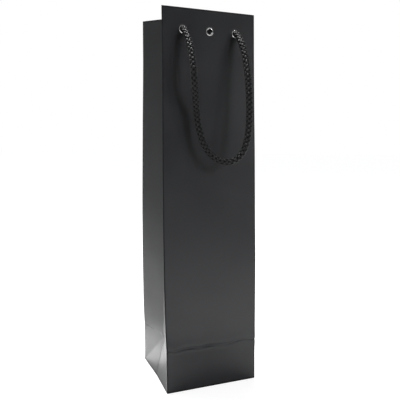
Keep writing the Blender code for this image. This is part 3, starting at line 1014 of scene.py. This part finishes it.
def nickel_material():
    """Polished nickel plate with hairline scratches and a little tarnish."""
    material, nodes, shader = new_material("polished_nickel")
    links = material.node_tree.links
    place = add(nodes, "TexCoord").outputs["Object"]
    haze = textured(nodes, links, place, 700, 4)
    scratch = textured(nodes, links, place, 4000, 3, (1, 1, 0.12))
    body = mixed(nodes, links, haze, (0.82, 0.82, 0.81), (0.95, 0.95, 0.94))
    links.new(body, shader.inputs["Base Color"])
    shader.inputs["Metallic"].default_value = 1.0
    links.new(ramp(nodes, links, haze, 0.08, 0.20, 0.3, 0.7), shader.inputs["Roughness"])
    stacked_bumps(nodes, links, shader, ((scratch, 0.004 * MM),))
    return material


def cord_material():
    """Black cotton yarn: fine twisted filaments along each strand, with painted shade in the gaps
    between strands.
    """
    material, nodes, shader = new_material("black_braided_cotton")
    links = material.node_tree.links
    strand = add(nodes, "UVMap", uv_map="strand").outputs["UV"]
    mapping = add(nodes, "Mapping")
    mapping.inputs["Scale"].default_value = (900, 9, 1)
    mapping.inputs["Rotation"].default_value = (0, 0, 0.02)
    links.new(strand, mapping.inputs["Vector"])
    yarn = add(nodes, "TexWave", Scale=1.0, Distortion=1.2, Detail=2.0)
    yarn.bands_direction = "DIAGONAL"
    links.new(mapping.outputs["Vector"], yarn.inputs["Vector"])
    fuzz = textured(nodes, links, add(nodes, "TexCoord").outputs["Object"], 2200, 4)
    body = mixed(nodes, links, yarn.outputs["Fac"], (0.003, 0.003, 0.0033), (0.012, 0.012, 0.013))
    # Painted shade: the base colour falls to near black (0.002) where a strand sinks into the gaps,
    # by its raised share
    raised = add(nodes, "Attribute", attribute_name="raised").outputs["Fac"]
    height = ramp(nodes, links, raised, 0.0, 1.0, 0.15, 0.85)
    links.new(mixed(nodes, links, height, (0.002, 0.002, 0.002), body), shader.inputs["Base Color"])
    links.new(ramp(nodes, links, fuzz, 0.34, 0.50, 0.3, 0.7), shader.inputs["Roughness"])
    links.new(ramp(nodes, links, height, 0.05, 0.5, 0.3, 1.0), shader.inputs["Specular IOR Level"])
    layers = ((yarn.outputs["Fac"], 0.09 * MM), (fuzz, 0.05 * MM))
    stacked_bumps(nodes, links, shader, layers)
    return material


# ---------------------------------------------------------------- stage


def make_floor():
    """A plain pale floor. The camera sees its shadows softened, as in an overexposed studio."""
    bm = bmesh.new()
    bmesh.ops.create_circle(bm, cap_ends=True, segments=96, radius=FLOOR_RADIUS)
    mesh = bpy.data.meshes.new("floor")
    bm.to_mesh(mesh)
    bm.free()
    floor = bpy.data.objects.new("floor", mesh)
    bpy.context.scene.collection.objects.link(floor)
    material, nodes, shader = new_material("pale_floor")
    links = material.node_tree.links
    shader.inputs["Base Color"].default_value = (0.88, 0.88, 0.88, 1)
    shader.inputs["Roughness"].default_value = 0.7
    seen = add(nodes, "Emission", Strength=1.45)
    path = add(nodes, "LightPath")
    half = add(nodes, "Math", operation="MULTIPLY")
    half.inputs[1].default_value = FLOOR_GLOW
    links.new(path.outputs["Is Camera Ray"], half.inputs[0])
    blend = add(nodes, "MixShader")
    links.new(half.outputs[0], blend.inputs[0])
    links.new(shader.outputs[0], blend.inputs[1])
    links.new(seen.outputs[0], blend.inputs[2])
    links.new(blend.outputs[0], nodes["Material Output"].inputs["Surface"])
    mesh.materials.append(material)
    return floor


def make_world():
    """White to the camera. As a light it is dim in front, bright overhead and behind the bag."""
    world = bpy.data.worlds.new("studio")
    world.use_nodes = True
    nodes, links = world.node_tree.nodes, world.node_tree.links
    nodes.clear()
    output = nodes.new("ShaderNodeOutputWorld")
    seen = add(nodes, "Background", Strength=1.0)
    seen.inputs["Color"].default_value = (1, 1, 1, 1)
    lighting = add(nodes, "Background", Strength=1.0)
    lighting.inputs["Color"].default_value = (0.97, 0.985, 1.0, 1)
    direction = add(nodes, "TexCoord").outputs["Generated"]
    total = None
    for axis, (start, end), strength in WORLD_GLOWS:
        nearness = add(nodes, "VectorMath", operation="DOT_PRODUCT")
        links.new(direction, nearness.inputs[0])
        nearness.inputs[1].default_value = Vector(axis).normalized()
        glow = ramp(nodes, links, nearness.outputs["Value"], 0.0, strength, start, end)
        glow.node.interpolation_type = "SMOOTHSTEP"
        if total:
            both = add(nodes, "Math", operation="ADD")
            links.new(total, both.inputs[0])
            links.new(glow, both.inputs[1])
            glow = both.outputs[0]
        total = glow
    level = add(nodes, "Math", operation="ADD")
    level.inputs[1].default_value = WORLD_FILL
    links.new(total, level.inputs[0])
    links.new(level.outputs[0], lighting.inputs["Strength"])
    path = add(nodes, "LightPath")
    switch = add(nodes, "MixShader")
    links.new(path.outputs["Is Camera Ray"], switch.inputs[0])
    links.new(lighting.outputs[0], switch.inputs[1])
    links.new(seen.outputs[0], switch.inputs[2])
    links.new(switch.outputs[0], output.inputs["Surface"])
    bpy.context.scene.world = world


def make_light(name, kind, azimuth, elevation, distance, size, power):
    """A lamp aimed at the bag's middle. azimuth is in degrees from the front, to the right."""
    data = bpy.data.lights.new(name, kind)
    data.energy = power
    if kind == "SUN":
        data.angle = math.radians(size)
    elif kind == "SPOT":
        data.spot_size = math.radians(size)
        data.spot_blend = 1.0
    else:
        data.shape = "DISK"
        data.size = size
    lamp = bpy.data.objects.new(name, data)
    bpy.context.scene.collection.objects.link(lamp)
    turn, rise = math.radians(azimuth), math.radians(elevation)
    level = math.cos(rise)
    away = Vector((level * math.sin(turn), -level * math.cos(turn), math.sin(rise)))
    lamp.location = Vector((0, 0, 0.2)) + distance * away
    lamp.rotation_euler = (-away).to_track_quat("-Z", "Y").to_euler()
    lamp.visible_camera = False
    return lamp


def keep_off(lamp, floor):
    """The lamp lights everything but the floor."""
    receivers = bpy.data.collections.new(lamp.name + "_receivers")
    receivers.objects.link(floor)
    receivers.collection_objects[0].light_linking.link_state = "EXCLUDE"
    lamp.light_linking.receiver_collection = receivers


def make_camera():
    data = bpy.data.cameras.new("camera")
    data.lens = CAMERA_LENS
    data.sensor_width = 36.0
    camera = bpy.data.objects.new("camera", data)
    bpy.context.scene.collection.objects.link(camera)
    camera.location = CAMERA_PLACE
    turn = Matrix.Rotation(-CAMERA_YAW, 4, "Z")
    tilt = Matrix.Rotation(math.pi / 2 + CAMERA_PITCH, 4, "X")
    roll = Matrix.Rotation(CAMERA_ROLL, 4, "Z")
    camera.rotation_euler = (turn @ tilt @ roll).to_euler()
    bpy.context.scene.camera = camera


# ---------------------------------------------------------------- assembly

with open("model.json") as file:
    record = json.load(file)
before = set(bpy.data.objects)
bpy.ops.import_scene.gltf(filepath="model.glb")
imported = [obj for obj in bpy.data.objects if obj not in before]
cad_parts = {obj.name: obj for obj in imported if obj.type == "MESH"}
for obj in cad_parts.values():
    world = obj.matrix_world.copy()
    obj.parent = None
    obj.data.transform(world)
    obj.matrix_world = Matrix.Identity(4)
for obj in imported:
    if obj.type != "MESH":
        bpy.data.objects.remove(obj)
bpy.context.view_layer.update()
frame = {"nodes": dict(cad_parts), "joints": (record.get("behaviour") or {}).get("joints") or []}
JOINTS = {joint["name"]: joint for joint in frame["joints"]}

flap_low, flap_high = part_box("base_front_flap")
PAPER = flap_high.z - flap_low.z
HALF_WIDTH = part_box("front_panel")[1].x + FOLD_GAIN
FRONT = Face("front", -1)
BACK = Face("back", 1)
RISE = math.hypot(FRONT.crease[2], FRONT.crease[1] - FRONT.base_y)
HEIGHT = RISE + FRONT.length
GUSSET = (BACK.base_y - FRONT.base_y) / 2
TUBE = 4 * (HALF_WIDTH + GUSSET)
CARD_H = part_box("front_top_card")[0].z

MATERIALS = {
    "laminate": laminate_material(),
    "raw_paper": raw_paper_material(),
    "card": board_material("grey_card_board", (0.16, 0.155, 0.145), (0.36, 0.35, 0.33)),
    "board": board_material("black_base_board", (0.018, 0.018, 0.018), (0.06, 0.06, 0.06)),
    "nickel": nickel_material(),
    "cord": cord_material(),
}

make_skin(FRONT, 0.0)
make_skin(BACK, TUBE / 2)
make_seam_flap()
for bag_face in (FRONT, BACK):
    make_cord(bag_face)
    for eyelet in ("left", "centre", "right"):
        make_eyelet(bag_face, eyelet)
        make_washer(bag_face, eyelet)

CARRIED_OVER = {  # CAD nodes that stay, with their materials
    "front_top_card": "card",
    "back_top_card": "card",
    "base_board": "board",
    "base_left_flap": "board",
    "base_right_flap": "board",
}
for node_name, material_name in CARRIED_OVER.items():
    node = frame["nodes"][node_name]
    for node_slot in node.material_slots:
        node_slot.material = MATERIALS[material_name]

pale_floor = make_floor()
make_world()
key = make_light("key", *KEY)
near_box = make_light("near_box", *NEAR_BOX)
side_box = make_light("side_box", *SIDE_BOX)
make_light("top_box", *TOP_BOX)
background = make_light("background", *BACKGROUND)
background.location += Vector(BACKGROUND_SHIFT)
side_box.visible_diffuse = False
for lamp in (key, near_box, background):
    lamp.visible_glossy = False
for lamp in (key, near_box):
    keep_off(lamp, pale_floor)
make_camera()
bpy.context.scene.view_settings.view_transform = "Standard"
